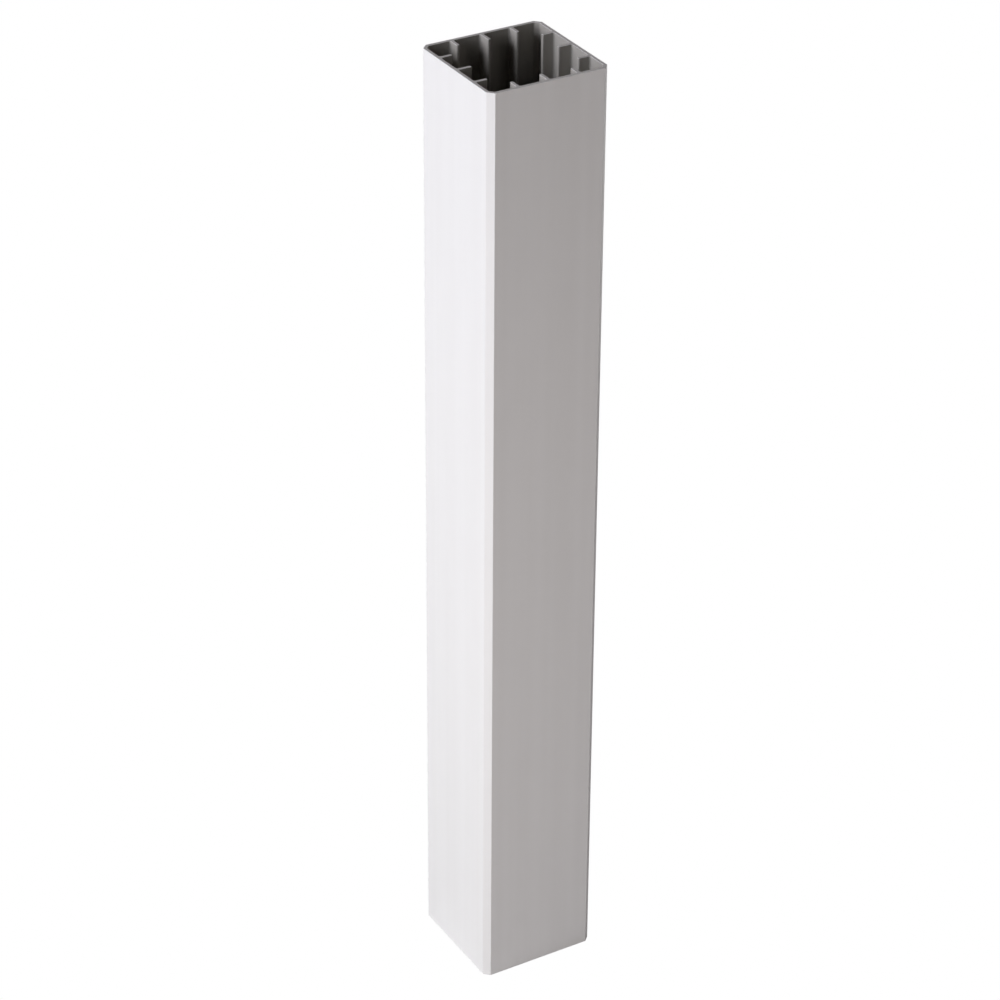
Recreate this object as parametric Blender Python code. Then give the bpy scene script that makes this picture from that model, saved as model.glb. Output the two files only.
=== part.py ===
"""A post sleeve: a hollow square extrusion that slides down over a square timber post.

Sizes are in metres and +Z is up. The origin is the centre of the lower cut end, where the sleeve stands.
The section is the same from one cut end to the other, so the whole sleeve is one extruded outline.
"""

import math

import bpy
from mathutils import Vector

# The sleeve outside
SLEEVE_WIDTH = 0.127
SLEEVE_LENGTH = 0.9906
WALL_THICKNESS = 0.0035
CORNER_CHAMFER = 0.006
CHAMFER_EDGE_RADIUS = 0.0008

# The timber post that it covers, and the air between the post and the tip of each wall's middle rib
POST_WIDTH = 0.0889
POST_CLEARANCE = 0.0012

# The ribs inside, which centre the sleeve on the post. The outer ribs stop a little short of the middle one
RIBS_PER_WALL = 3
RIB_SPACING = 0.03175
RIB_THICKNESS = 0.0034
OUTER_RIB_SETBACK = 0.002
RIB_ROOT_FILLET = 0.0018
RIB_TIP_RADIUS = 0.0008
INNER_CORNER_RADIUS = 0.002

# Straight pieces in each rounded corner of the section
ARC_STEPS = 4

# The white capstock of the sleeve
SLEEVE_COLOUR = (0.84, 0.84, 0.85, 1.0)
SLEEVE_ROUGHNESS = 0.42

# Halves and depths that the section is drawn from
OUTER_HALF = SLEEVE_WIDTH / 2
INNER_HALF = OUTER_HALF - WALL_THICKNESS
MIDDLE_TIP_HALF = POST_WIDTH / 2 + POST_CLEARANCE
OUTER_TIP_HALF = MIDDLE_TIP_HALF + OUTER_RIB_SETBACK
INNER_CHAMFER = CORNER_CHAMFER - WALL_THICKNESS * (2 - math.sqrt(2))


def clear_scene():
    """Empty the scene, so that only the sleeve is left in it."""
    for obj in list(bpy.data.objects):
        bpy.data.objects.remove(obj, do_unlink=True)


def collection_for_parts():
    """The collection that holds the sleeve."""
    parts = bpy.data.collections.new("Post sleeve")
    bpy.context.scene.collection.children.link(parts)
    return parts


def plastic(name, colour, roughness):
    """A plain plastic."""
    material = bpy.data.materials.new(name)
    material.use_nodes = True
    shader = material.node_tree.nodes["Principled BSDF"]
    shader.inputs["Base Color"].default_value = colour
    shader.inputs["Roughness"].default_value = roughness
    shader.inputs["Metallic"].default_value = 0.0
    material.diffuse_color = colour
    return material


def rounded(corners):
    """The points of a closed outline through corners of (x, y, radius), each corner drawn as an arc."""
    points = []
    for index, (x, y, radius) in enumerate(corners):
        corner = Vector((x, y))
        before = Vector(corners[index - 1][:2])
        after = Vector(corners[(index + 1) % len(corners)][:2])
        way_in = (corner - before).normalized()
        way_out = (after - corner).normalized()
        turn = way_in.angle(way_out)
        inwards = Vector((-way_in.y, way_in.x)) * math.copysign(1, way_in.cross(way_out))
        centre = corner - way_in * radius * math.tan(turn / 2) + inwards * radius
        for step in range(ARC_STEPS + 1):
            turned = turn * step / ARC_STEPS
            points.append(centre + radius * (way_in * math.sin(turned) - inwards * math.cos(turned)))
    return points


def around(wall):
    """The corners of the front wall, followed by the same corners turned onto the other three walls."""
    corners = []
    for _ in range(4):
        corners += wall
        wall = [(-y, x, radius) for x, y, radius in wall]
    return corners


def outer_wall():
    """The outer corners of the front wall, from left to right: the two edges of its face."""
    edge = OUTER_HALF - CORNER_CHAMFER
    return [
        (-edge, -OUTER_HALF, CHAMFER_EDGE_RADIUS),
        (edge, -OUTER_HALF, CHAMFER_EDGE_RADIUS),
    ]


def rib(middle, tip):
    """The corners of one rib on the front wall, whose tip is that far from the sleeve's axis."""
    left = middle - RIB_THICKNESS / 2
    right = middle + RIB_THICKNESS / 2
    fillet = min(RIB_ROOT_FILLET, (INNER_HALF - tip) / 2)
    return [
        (left, -INNER_HALF, fillet),
        (left, -tip, RIB_TIP_RADIUS),
        (right, -tip, RIB_TIP_RADIUS),
        (right, -INNER_HALF, fillet),
    ]


def inner_wall():
    """The inner corners of the front wall, from left to right, with its ribs."""
    edge = INNER_HALF - INNER_CHAMFER
    corners = [(-edge, -INNER_HALF, INNER_CORNER_RADIUS)]
    for number in range(RIBS_PER_WALL):
        middle = (number - (RIBS_PER_WALL - 1) / 2) * RIB_SPACING
        corners += rib(middle, OUTER_TIP_HALF if middle else MIDDLE_TIP_HALF)
    corners.append((edge, -INNER_HALF, INNER_CORNER_RADIUS))
    return corners


def add_outline(curve, points):
    """Draw one closed outline in the curve."""
    spline = curve.splines.new("POLY")
    spline.points.add(len(points) - 1)
    for place, point in zip(spline.points, points):
        place.co = (point.x, point.y, 0.0, 1.0)
    spline.use_cyclic_u = True
    spline.use_smooth = False


def make_sleeve(parts):
    """The sleeve: the area between its outer and inner outlines, drawn out to its length."""
    section = bpy.data.curves.new("post_sleeve", "CURVE")
    section.dimensions = "2D"
    section.fill_mode = "BOTH"
    section.extrude = SLEEVE_LENGTH / 2
    add_outline(section, rounded(around(outer_wall())))
    add_outline(section, rounded(around(inner_wall())))
    section.materials.append(plastic("sleeve_plastic", SLEEVE_COLOUR, SLEEVE_ROUGHNESS))
    sleeve = bpy.data.objects.new("post_sleeve", section)
    sleeve.location = (0.0, 0.0, SLEEVE_LENGTH / 2)
    parts.objects.link(sleeve)
    return sleeve


def main():
    clear_scene()
    make_sleeve(collection_for_parts())


main()
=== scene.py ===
"""The looks of a post sleeve: its extrusion in fine mesh, its white plastic, and a pale studio around it.

Sizes are in metres and +Z is up. The origin is the centre of the lower cut end, where the sleeve stands.
"""

import math

import bmesh
import bpy
from mathutils import Matrix, Vector


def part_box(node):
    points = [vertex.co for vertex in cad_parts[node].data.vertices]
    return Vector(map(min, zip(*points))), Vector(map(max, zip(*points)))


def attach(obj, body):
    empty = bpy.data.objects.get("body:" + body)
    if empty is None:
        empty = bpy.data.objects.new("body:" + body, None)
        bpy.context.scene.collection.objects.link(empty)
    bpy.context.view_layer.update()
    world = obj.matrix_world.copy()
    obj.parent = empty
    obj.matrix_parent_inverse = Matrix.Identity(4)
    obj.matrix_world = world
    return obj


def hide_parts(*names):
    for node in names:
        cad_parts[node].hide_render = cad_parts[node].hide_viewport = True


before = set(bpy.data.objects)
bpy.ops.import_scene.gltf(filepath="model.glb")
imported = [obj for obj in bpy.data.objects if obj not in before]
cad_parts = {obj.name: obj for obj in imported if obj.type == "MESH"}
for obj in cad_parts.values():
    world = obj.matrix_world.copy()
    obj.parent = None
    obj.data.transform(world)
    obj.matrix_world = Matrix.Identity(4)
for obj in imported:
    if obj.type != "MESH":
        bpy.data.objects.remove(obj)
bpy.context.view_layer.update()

# The sleeve's outside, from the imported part
LOWEST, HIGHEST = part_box("post_sleeve")
SLEEVE_WIDTH = HIGHEST.x - LOWEST.x
SLEEVE_LENGTH = HIGHEST.z - LOWEST.z

# The section, as in the part, but with the rib tips as round as they look
WALL_THICKNESS = 0.0035
CORNER_CHAMFER = 0.006
CHAMFER_EDGE_RADIUS = 0.0008
INNER_CORNER_RADIUS = 0.002
POST_WIDTH = 0.0889
POST_CLEARANCE = 0.0012
RIB_SPACING = 0.03175
RIB_THICKNESS = 0.0034
OUTER_RIB_SETBACK = 0.002
RIB_ROOT_FILLET = 0.0018
RIB_TIP_RADIUS = 0.0016

# What the die and the saw leave on it
CUT_EDGE_BREAK = 0.00025
SINK_DEPTH = 0.00006
SINK_REACH = 0.005

# How finely it is drawn, and how closely faces and edges are told apart
SMOOTH_BELOW = math.radians(30)
ARC_STEPS = 5
LINES_PER_RIB_SPACING = 12
SLICES = 40
TINY = 0.00001
TINY_ANGLE = 0.01
SAME_DIRECTION = 0.999

# Halves and depths that the section is drawn from
OUTER_HALF = SLEEVE_WIDTH / 2
INNER_HALF = OUTER_HALF - WALL_THICKNESS
INNER_CHAMFER = CORNER_CHAMFER - WALL_THICKNESS * (2 - math.sqrt(2))
MIDDLE_TIP_HALF = POST_WIDTH / 2 + POST_CLEARANCE
OUTER_TIP_HALF = MIDDLE_TIP_HALF + OUTER_RIB_SETBACK
RIBS = {
    -RIB_SPACING: OUTER_TIP_HALF,
    0.0: MIDDLE_TIP_HALF,
    RIB_SPACING: OUTER_TIP_HALF,
}
WALLS = [Vector((0, -1, 0)), Vector((1, 0, 0)), Vector((0, 1, 0)), Vector((-1, 0, 0))]
UP = Vector((0, 0, 1))

# The sockets of a Mix node that blends two colours
MIX_SHARE = 0
MIX_COLOUR = 6
MIX_OTHER = 7
MIX_RESULT = 2

# The whites of the plastic: its skin, the inside painted darker with the shade that falls in the hollow,
# and the core where the saw tore it
SKIN_WHITE = (0.815, 0.818, 0.821, 1)
SKIN_SHADE = (0.793, 0.795, 0.796, 1)
# The inside's two colours are painted shade: darker than the skin, standing for the shade in the hollow
# sleeve
INSIDE_WHITE_WITH_PAINTED_SHADE = (0.46, 0.449, 0.42, 1)
INSIDE_STREAK_WITH_PAINTED_SHADE = (0.43, 0.417, 0.384, 1)
SAWN_WHITE = (0.82, 0.812, 0.795, 1)
SAWN_SHADE = (0.755, 0.745, 0.727, 1)
SKIN_DEPTH = 0.0004

# The depths between which one finish goes over to the next
SKIN_FADE = (SKIN_DEPTH * 0.8, SKIN_DEPTH * 1.4)
WALL_FADE = (WALL_THICKNESS * 0.3, WALL_THICKNESS * 0.7)

# How dull each surface is, and how much its patterns vary that
SKIN_ROUGHNESS = 0.4
INSIDE_ROUGHNESS = 0.52
SAWN_ROUGHNESS = 0.66
CLOUD_DULLING = 0.12
DIE_LINE_DULLING = 0.1
TORN_DULLING = 0.2
SAW_MARK_DULLING = 0.06

# The plastic's patterns: a grain's size across and along the sleeve, and where the pattern starts
DIE_LINES = (0.0012, 0.5, 1.7)
BANDS = (0.012, 1.6, 3.1)
CLOUD = (0.025, 0.1, 5.3)
STIPPLE = (0.0005, 0.0006, 7.9)
DRAG = (0.002, 0.012, 11.3)
WAVER = (0.006, 0.006, 2.3)
TORN = (0.0005, 0.0005, 4.7)
SOFT_FADE = (0.3, 0.7)
BROAD_FADE = (0.2, 0.8)

# How high the patterns stand
DIE_LINE_HEIGHT = 0.000004
STIPPLE_HEIGHT = 0.000002
DRAG_HEIGHT = 0.00002
SAW_MARK_HEIGHT = 0.000012
TORN_HEIGHT = 0.000025

# The saw: where the middle of its blade passes, how far apart its marks are, and how they waver
BLADE_MIDDLE = (-0.16, -0.05, 0.0)
SAW_PITCH = 0.0009
MARK_WAVER = 9.0

# The studio's soft panels: degrees from +X, distance, bottom, top, brightness and colour of each
COOL = (0.93, 0.927, 1.0)
PLAIN = (1.0, 1.0, 1.0)
CREAM = (1.0, 0.985, 0.87)
WARM = (1.0, 0.926, 0.89)
NEAR = 1.5
FAR = 3.0
PANEL_SPREAD = math.radians(15)
PANELS = [
    (180, FAR, 1.0, 3.0, 8.6, COOL),
    (180, NEAR, 0.0, 0.6, 3.3, CREAM),
    (150, NEAR, 1.45, 2.6, 1.61, WARM),
    (240, NEAR, 0.0, 0.6, 2.22, WARM),
    (270, NEAR, 0.6, 0.9, 4.74, WARM),
    (330, NEAR, 1.15, 2.6, 0.72, WARM),
    (60, NEAR, 1.15, 1.45, 2.41, WARM),
    (30, NEAR, 0.0, 0.9, 1.13, PLAIN),
    (60, NEAR, 0.0, 0.9, 1.13, PLAIN),
]

# The studio's floor and its white surround
FLOOR_RADIUS = 12.0
FLOOR_SIDES = 96
FLOOR_LEVEL = -0.0002
FLOOR_COLOUR = (0.8, 0.8, 0.8, 1)
PAPER_WHITE = (1, 1, 1, 1)
BLACK = (0, 0, 0, 1)

# The camera, fitted to the sleeve's edges in the photograph
CAMERA_LENS = 123.386
SENSOR_WIDTH = 36.0
CAMERA_AZIMUTH = math.radians(-30.50285)
CAMERA_ELEVATION = math.radians(30.45637)
CAMERA_ROLL = math.radians(0.365501)
CAMERA_DISTANCE = 3.371647
CAMERA_SIDESTEP = -0.010691
CAMERA_RISE = 0.022938


# Modelling by hand, in edit mode


def start_from(primitive, name, **sizes):
    """Add a primitive with nothing else selected, name it, and open it in edit mode."""
    bpy.ops.object.select_all(action="DESELECT")
    primitive(**sizes)
    piece = bpy.context.object
    piece.name = name
    piece.data.name = name
    bpy.ops.object.mode_set(mode="EDIT")
    return piece


def pick(kind, wanted):
    """Select only the shown vertices, edges or faces that wanted says yes to."""
    bpy.ops.mesh.select_mode(type=kind)
    bpy.ops.mesh.select_all(action="DESELECT")
    mesh = bmesh.from_edit_mesh(bpy.context.edit_object.data)
    for part in {"VERT": mesh.verts, "EDGE": mesh.edges, "FACE": mesh.faces}[kind]:
        if not part.hide and wanted(part):
            part.select = True
    mesh.select_flush_mode()
    bmesh.update_edit_mesh(bpy.context.edit_object.data)


def middle_of(edge):
    """The middle point of an edge."""
    return (edge.verts[0].co + edge.verts[1].co) / 2


def is_level(face):
    """Whether a face looks up or down, rather than to a side."""
    return abs(face.normal.z) > 0.5


def cut_all(place, direction):
    """Cut all that is shown along a plane."""
    bpy.ops.mesh.select_all(action="SELECT")
    bpy.ops.mesh.bisect(plane_co=place, plane_no=direction)


def along(wall, point):
    """How far a point is from the middle of a wall, along it."""
    return point.dot(UP.cross(wall))


def rounding(radius, turn):
    """How far back from a corner an arc of that radius starts, where the outline turns by that angle."""
    return radius * math.tan(turn / 2)


def round_corners(offset, wanted):
    """Round off the section's corners that wanted says yes to."""
    pick("VERT", wanted)
    bpy.ops.mesh.bevel(
        offset=offset, offset_type="OFFSET", segments=ARC_STEPS, profile=0.5, affect="VERTICES"
    )


# The sleeve's section, drawn flat, and then drawn out


def draw_walls():
    """The four walls with their chamfered corners, flat, as a ring cut through each chamfer's middle."""
    sleeve = start_from(bpy.ops.mesh.primitive_plane_add, "sleeve_extrusion", size=SLEEVE_WIDTH)
    bpy.ops.mesh.select_all(action="SELECT")
    bpy.ops.mesh.bevel(offset=CORNER_CHAMFER, offset_type="OFFSET", segments=1, affect="VERTICES")
    bpy.ops.mesh.select_all(action="SELECT")
    bpy.ops.mesh.inset(thickness=WALL_THICKNESS, use_even_offset=True)
    bpy.ops.mesh.delete(type="ONLY_FACE")
    cut_all((0, 0, 0), (1, 1, 0))
    cut_all((0, 0, 0), (1, -1, 0))
    return sleeve


def draw_ribs():
    """The three ribs of each wall, drawn inwards from it."""
    for middle in RIBS:
        for side in (middle - RIB_THICKNESS / 2, middle + RIB_THICKNESS / 2):
            cut_all((side, 0, 0), (1, 0, 0))
            cut_all((0, side, 0), (0, 1, 0))
    for wall in WALLS:
        for middle, tip in RIBS.items():
            foot = wall * INNER_HALF + UP.cross(wall) * middle
            pick("EDGE", lambda edge: (middle_of(edge) - foot).length < TINY)
            bpy.ops.mesh.extrude_region_move(TRANSFORM_OT_translate={"value": wall * (tip - INNER_HALF)})
    pick("EDGE", lambda edge: len(edge.link_faces) == 2 and not on_mitre(middle_of(edge)))
    bpy.ops.mesh.dissolve_edges(use_verts=False)


def on_mitre(point):
    """Whether a point is on one of the two diagonals, where the walls join."""
    return abs(abs(point.x) - abs(point.y)) < TINY


def corner_at(along_wall, from_middle):
    """Says whether a vertex is at that place on any of the four walls, at either side of its middle."""

    def there(vertex):
        far = max(abs(vertex.co.x), abs(vertex.co.y))
        near = min(abs(vertex.co.x), abs(vertex.co.y))
        return abs(near - along_wall) < TINY and abs(far - from_middle) < TINY

    return there


def round_section():
    """The radii of the chamfers' edges, of the inside corners, and of the ribs' roots and tips."""
    round_corners(
        rounding(CHAMFER_EDGE_RADIUS, math.radians(45)), corner_at(OUTER_HALF - CORNER_CHAMFER, OUTER_HALF)
    )
    round_corners(
        rounding(INNER_CORNER_RADIUS, math.radians(45)), corner_at(INNER_HALF - INNER_CHAMFER, INNER_HALF)
    )
    for middle, tip in RIBS.items():
        for side in (middle - RIB_THICKNESS / 2, middle + RIB_THICKNESS / 2):
            if side < 0:
                continue
            round_corners(rounding(RIB_ROOT_FILLET, math.radians(90)), corner_at(side, INNER_HALF))
            round_corners(rounding(RIB_TIP_RADIUS, math.radians(90)), corner_at(side, tip))


def draw_out():
    """The section drawn out to the sleeve's length, with the sharp edges of both cut ends just broken."""
    bpy.ops.mesh.select_all(action="SELECT")
    bpy.ops.mesh.extrude_region_move(TRANSFORM_OT_translate={"value": UP * SLEEVE_LENGTH})
    bpy.ops.mesh.select_all(action="SELECT")
    bpy.ops.mesh.normals_make_consistent(inside=False)
    pick("EDGE", is_cut_edge)
    bpy.ops.mesh.bevel(offset=CUT_EDGE_BREAK, offset_type="OFFSET", segments=1, affect="EDGES")


def is_cut_edge(edge):
    """Whether an edge is a sharp one that goes round one of the two cut ends."""
    height = middle_of(edge).z
    at_an_end = height < TINY or height > SLEEVE_LENGTH - TINY
    return at_an_end and abs(edge.calc_face_angle(0) - math.pi / 2) < TINY_ANGLE


def on_wall(wall, face):
    """Whether a face is part of the flat outside of a wall."""
    faces_out = face.normal.dot(wall) > SAME_DIRECTION
    return faces_out and face.calc_center_median().dot(wall) > OUTER_HALF - TINY


def divide_walls():
    """Lines along and around the sleeve, so that the walls can be eased out of flat."""
    lines = int((OUTER_HALF - CORNER_CHAMFER) / RIB_SPACING * LINES_PER_RIB_SPACING)
    for wall in WALLS:
        for line in range(-lines, lines + 1):
            pick("FACE", lambda face: on_wall(wall, face))
            place = UP.cross(wall) * line * RIB_SPACING / LINES_PER_RIB_SPACING
            bpy.ops.mesh.bisect(plane_co=place, plane_no=UP.cross(wall))
    for level in range(1, SLICES):
        cut_all((0, 0, SLEEVE_LENGTH * level / SLICES), (0, 0, 1))


def pull_in(wall, depth, reach, wanted):
    """Pull vertices in from a wall, and what is round them less and less, out to the reach."""
    pick("VERT", wanted)
    bpy.ops.transform.translate(
        value=-depth * wall,
        use_proportional_edit=True,
        proportional_edit_falloff="SMOOTH",
        proportional_size=reach,
        use_proportional_connected=True,
    )


def ease_walls():
    """Each wall sinks in a faint line over each of its ribs."""
    pick("FACE", lambda face: not is_level(face) and is_outside(face.calc_center_median()))
    bpy.ops.mesh.hide(unselected=True)
    for wall in WALLS:
        for middle in RIBS:
            pull_in(wall, SINK_DEPTH, SINK_REACH, lambda vertex: is_over_rib(wall, middle, vertex.co))
    bpy.ops.mesh.reveal(select=False)


def is_over_rib(wall, middle, point):
    """Whether a point is on the outside of a wall, straight over the rib with that middle."""
    return point.dot(wall) > INNER_HALF and abs(along(wall, point) - middle) < TINY


def is_outside(point):
    """Whether a point is on the outer side of the walls."""
    across = OUTER_HALF - max(abs(point.x), abs(point.y))
    off_chamfer = (2 * OUTER_HALF - CORNER_CHAMFER - abs(point.x) - abs(point.y)) / math.sqrt(2)
    return min(across, off_chamfer) < WALL_THICKNESS / 2


def make_sleeve():
    """The whole sleeve, as one piece."""
    sleeve = draw_walls()
    draw_ribs()
    round_section()
    draw_out()
    divide_walls()
    ease_walls()
    bpy.ops.object.mode_set(mode="OBJECT")
    return sleeve


def smooth_sleeve(sleeve):
    """Smooth shading over the roundings, with the flats kept flat."""
    bpy.ops.object.shade_smooth_by_angle(angle=SMOOTH_BELOW)
    evener = sleeve.modifiers.new("even flats", "WEIGHTED_NORMAL")
    evener.keep_sharp = True
    bpy.ops.object.modifier_apply(modifier=evener.name)


# The plastic, node by node


class Wire:
    """A socket in a finish, which Python's own signs add, take away and multiply."""

    def __init__(self, finish, socket):
        self.finish = finish
        self.socket = socket

    def maths(self, operation, *values):
        """A Math node on this socket and the values after it."""
        sockets = dict(enumerate((self, *values)))
        return self.finish.node("ShaderNodeMath", {"operation": operation}, sockets)

    def other(self, output):
        """Another output of the same node."""
        return Wire(self.finish, self.socket.node.outputs[output])

    def __add__(self, value):
        return self.maths("ADD", value)

    def __sub__(self, value):
        return self.maths("SUBTRACT", value)

    def __mul__(self, value):
        return self.maths("MULTIPLY", value)

    def __rsub__(self, value):
        return self * -1.0 + value

    def __abs__(self):
        return self.maths("ABSOLUTE")

    __radd__ = __add__
    __rmul__ = __mul__


class Finish:
    """One finish: a shader, and the patterns that vary it, in the sleeve's own coordinates."""

    def __init__(self, name):
        self.material = bpy.data.materials.new(name)
        self.material.use_nodes = True
        self.tree = self.material.node_tree
        self.shader = self.tree.nodes["Principled BSDF"]
        self.place = self.node("ShaderNodeTexCoord", output="Object")

    def node(self, kind, settings=None, sockets=None, output=0):
        """Add a node, its settings first and then its sockets' values or links. Gives one output."""
        node = self.tree.nodes.new(kind)
        for name, value in (settings or {}).items():
            setattr(node, name, value)
        self.fill(node, sockets or {})
        return Wire(self, node.outputs[output])

    def fill(self, node, sockets):
        """Set a node's sockets, or link them."""
        for name, value in sockets.items():
            if isinstance(value, Wire):
                self.tree.links.new(value.socket, node.inputs[name])
            else:
                node.inputs[name].default_value = value

    def fade(self, value, start, end):
        """0 up to the start, 1 from the end on, and smooth in between."""
        return self.node(
            "ShaderNodeMapRange",
            {"interpolation_type": "SMOOTHSTEP"},
            {"Value": value, "From Min": start, "From Max": end},
            "Result",
        )

    def tint(self, share, colour, other):
        """A colour that goes over to the other as the share goes from 0 to 1."""
        sockets = {MIX_SHARE: share, MIX_COLOUR: colour, MIX_OTHER: other}
        return self.node("ShaderNodeMix", {"data_type": "RGBA"}, sockets, MIX_RESULT)

    def grain(self, across, along, start, detail=2.0):
        """A soft random pattern from 0 to 1, with grains of that size across and along the sleeve."""
        stretched = self.node(
            "ShaderNodeMapping",
            {"vector_type": "TEXTURE"},
            {"Vector": self.place, "Location": (start, start, start), "Scale": (across, across, along)},
        )
        sockets = {"Vector": stretched, "Scale": 1.0, "Detail": detail}
        return self.node("ShaderNodeTexNoise", {}, sockets, "Fac")

    def depth(self):
        """How deep a point lies below the sleeve's outer faces and chamfers."""
        x = self.node("ShaderNodeSeparateXYZ", {}, {"Vector": self.place}, "X")
        y = x.other("Y")
        far = abs(x).maths("MAXIMUM", abs(y))
        off_chamfer = (2 * OUTER_HALF - CORNER_CHAMFER - (abs(x) + abs(y))) * math.sqrt(0.5)
        return (OUTER_HALF - far).maths("MINIMUM", off_chamfer)

    def finished(self, colour, roughness, height):
        """The material, with its colour, its roughness and its relief, in metres."""
        sockets = {"Strength": 1.0, "Distance": 1.0, "Height": height}
        relief = self.node("ShaderNodeBump", {}, sockets, "Normal")
        self.fill(self.shader, {"Base Color": colour, "Roughness": roughness, "Normal": relief})
        return self.material


def drawn_plastic():
    """The plastic as the die leaves it: satin white outside, duller inside and painted darker there as
    shade, in fine lines.
    """
    finish = Finish("drawn_plastic")
    inside = finish.fade(finish.depth(), *WALL_FADE)
    die_lines = finish.grain(*DIE_LINES)
    bands = finish.grain(*BANDS, detail=1.0)
    cloud = finish.grain(*CLOUD)
    stipple = finish.grain(*STIPPLE)
    drag = finish.grain(*DRAG)
    skin = finish.tint(finish.fade(bands * 0.6 + cloud * 0.4, *SOFT_FADE), SKIN_WHITE, SKIN_SHADE)
    streaks = finish.fade(die_lines * 0.4 + drag * 0.3 + cloud * 0.3, *SOFT_FADE)
    # Painted shade: the inner faces get a darker grey, in streaks, standing for the shade inside the
    # hollow
    inner_colour = finish.tint(streaks, INSIDE_WHITE_WITH_PAINTED_SHADE, INSIDE_STREAK_WITH_PAINTED_SHADE)
    roughness = (
        SKIN_ROUGHNESS
        + inside * (INSIDE_ROUGHNESS - SKIN_ROUGHNESS)
        + (cloud - 0.5) * CLOUD_DULLING
        + (die_lines - 0.5) * DIE_LINE_DULLING
    )
    height = die_lines * DIE_LINE_HEIGHT + stipple * STIPPLE_HEIGHT + inside * drag * DRAG_HEIGHT
    # The inner faces take the darker, painted-shade colour, and the outer faces take the white skin
    return finish.finished(finish.tint(inside, skin, inner_colour), roughness, height)


def sawn_plastic():
    """The two cut ends: the core torn by the saw in curved marks, inside a thin line of the white skin."""
    finish = Finish("sawn_plastic")
    flatten = {0: finish.place, 1: (1.0, 1.0, 0.0)}
    flat = finish.node("ShaderNodeVectorMath", {"operation": "MULTIPLY"}, flatten)
    from_blade = finish.node(
        "ShaderNodeVectorMath", {"operation": "DISTANCE"}, {0: flat, 1: BLADE_MIDDLE}, "Value"
    )
    waver = finish.grain(*WAVER)
    torn = finish.grain(*TORN, detail=4.0)
    marks = (from_blade * (2 * math.pi / SAW_PITCH) + waver * MARK_WAVER).maths("SINE") * 0.5 + 0.5
    inner_colour = finish.tint(finish.fade(marks * 0.5 + torn * 0.5, *BROAD_FADE), SAWN_WHITE, SAWN_SHADE)
    below_skin = finish.fade(finish.depth() + (torn - 0.5) * SKIN_DEPTH, *SKIN_FADE)
    roughness = SAWN_ROUGHNESS + (torn - 0.5) * TORN_DULLING + marks * SAW_MARK_DULLING
    height = marks * SAW_MARK_HEIGHT + torn * TORN_HEIGHT
    return finish.finished(finish.tint(below_skin, SKIN_WHITE, inner_colour), roughness, height)


def finish_sleeve(sleeve):
    """Give the drawn walls and ribs one finish, and the cut ends with their broken edges the other."""
    sleeve.data.materials.append(drawn_plastic())
    sleeve.data.materials.append(sawn_plastic())
    bpy.ops.object.mode_set(mode="EDIT")
    pick("FACE", is_level)
    sleeve.active_material_index = 1
    bpy.ops.object.material_slot_assign()
    bpy.ops.object.mode_set(mode="OBJECT")


# The studio


def make_floor():
    """A plain pale floor, which the camera sees as white, and which lights the sleeve as a pale floor."""
    bpy.ops.object.select_all(action="DESELECT")
    bpy.ops.mesh.primitive_circle_add(
        vertices=FLOOR_SIDES, radius=FLOOR_RADIUS, fill_type="NGON", location=(0, 0, FLOOR_LEVEL)
    )
    floor = bpy.context.object
    floor.name = "studio_floor"
    paint = Finish("floor_paint")
    seen = paint.node("ShaderNodeLightPath", output="Is Camera Ray")
    paint.fill(
        paint.shader,
        {
            "Base Color": paint.tint(seen, FLOOR_COLOUR, BLACK),
            "Roughness": 1.0,
            "Specular IOR Level": 0.0,
            "Emission Color": paint.tint(seen, BLACK, PAPER_WHITE),
            "Emission Strength": 1.0,
        },
    )
    floor.data.materials.append(paint.material)
    return floor


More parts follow.
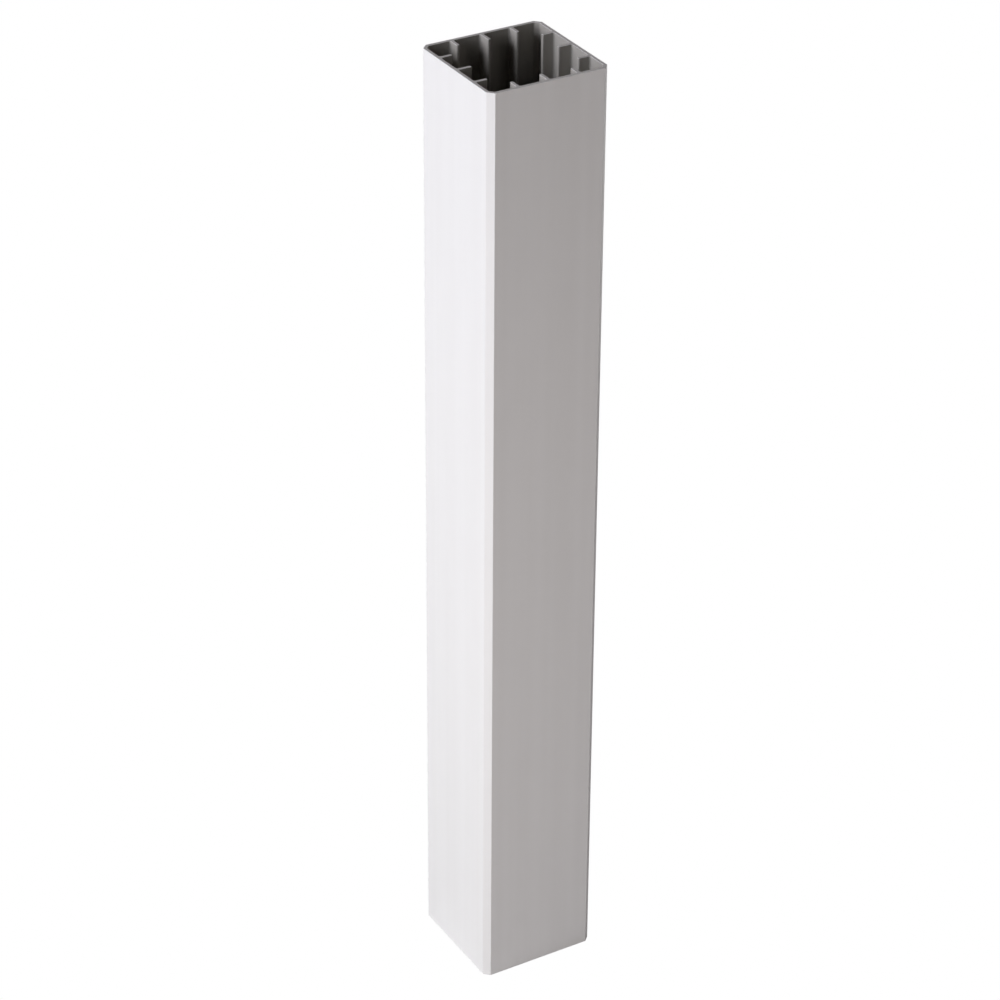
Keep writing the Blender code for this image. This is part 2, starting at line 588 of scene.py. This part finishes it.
def light_room():
    """A white surround for the camera, which gives no light, and the soft panels that light the sleeve."""
    room = bpy.data.worlds.new("studio_room")
    room.use_nodes = True
    nodes = room.node_tree.nodes
    seen = nodes.new("ShaderNodeLightPath")
    nodes["Background"].inputs["Color"].default_value = PAPER_WHITE
    room.node_tree.links.new(seen.outputs["Is Camera Ray"], nodes["Background"].inputs["Strength"])
    bpy.context.scene.world = room
    for direction, distance, bottom, top, brightness, colour in PANELS:
        hang_panel(math.radians(direction), distance, bottom, top, brightness, colour)


def hang_panel(direction, distance, bottom, top, brightness, colour):
    """One upright soft panel that faces the sleeve."""
    panel = bpy.data.lights.new("soft_panel", "AREA")
    panel.shape = "RECTANGLE"
    panel.size = 2 * distance * math.tan(PANEL_SPREAD)
    panel.size_y = top - bottom
    panel.energy = math.pi * panel.size * panel.size_y * brightness
    panel.color = colour
    lamp = bpy.data.objects.new("soft_panel", panel)
    outwards = Vector((math.cos(direction), math.sin(direction), 0))
    lamp.location = outwards * distance + UP * (bottom + top) / 2
    lamp.rotation_euler = outwards.to_track_quat("Z", "Y").to_euler()
    lamp.visible_camera = False
    bpy.context.scene.collection.objects.link(lamp)


def set_camera():
    """The camera where the photographer's stood, aimed from the middle of the sleeve's height."""
    back = Vector(
        (
            math.sin(CAMERA_AZIMUTH) * math.cos(CAMERA_ELEVATION),
            -math.cos(CAMERA_AZIMUTH) * math.cos(CAMERA_ELEVATION),
            math.sin(CAMERA_ELEVATION),
        )
    )
    level_right = UP.cross(back).normalized()
    level_up = back.cross(level_right)
    right = level_right * math.cos(CAMERA_ROLL) + level_up * math.sin(CAMERA_ROLL)
    above = level_up * math.cos(CAMERA_ROLL) - level_right * math.sin(CAMERA_ROLL)
    middle = UP * SLEEVE_LENGTH / 2
    eye = middle + back * CAMERA_DISTANCE + right * CAMERA_SIDESTEP + above * CAMERA_RISE
    lens = bpy.data.cameras.new("camera")
    lens.lens = CAMERA_LENS
    lens.sensor_width = SENSOR_WIDTH
    camera = bpy.data.objects.new("camera", lens)
    turn = Matrix((right, above, back)).transposed()
    camera.matrix_world = Matrix.Translation(eye) @ turn.to_4x4()
    bpy.context.scene.collection.objects.link(camera)
    bpy.context.scene.camera = camera
    bpy.context.scene.view_settings.view_transform = "Standard"


sleeve = make_sleeve()
smooth_sleeve(sleeve)
finish_sleeve(sleeve)
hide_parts("post_sleeve")
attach(sleeve, "root")

make_floor()
light_room()
set_camera()
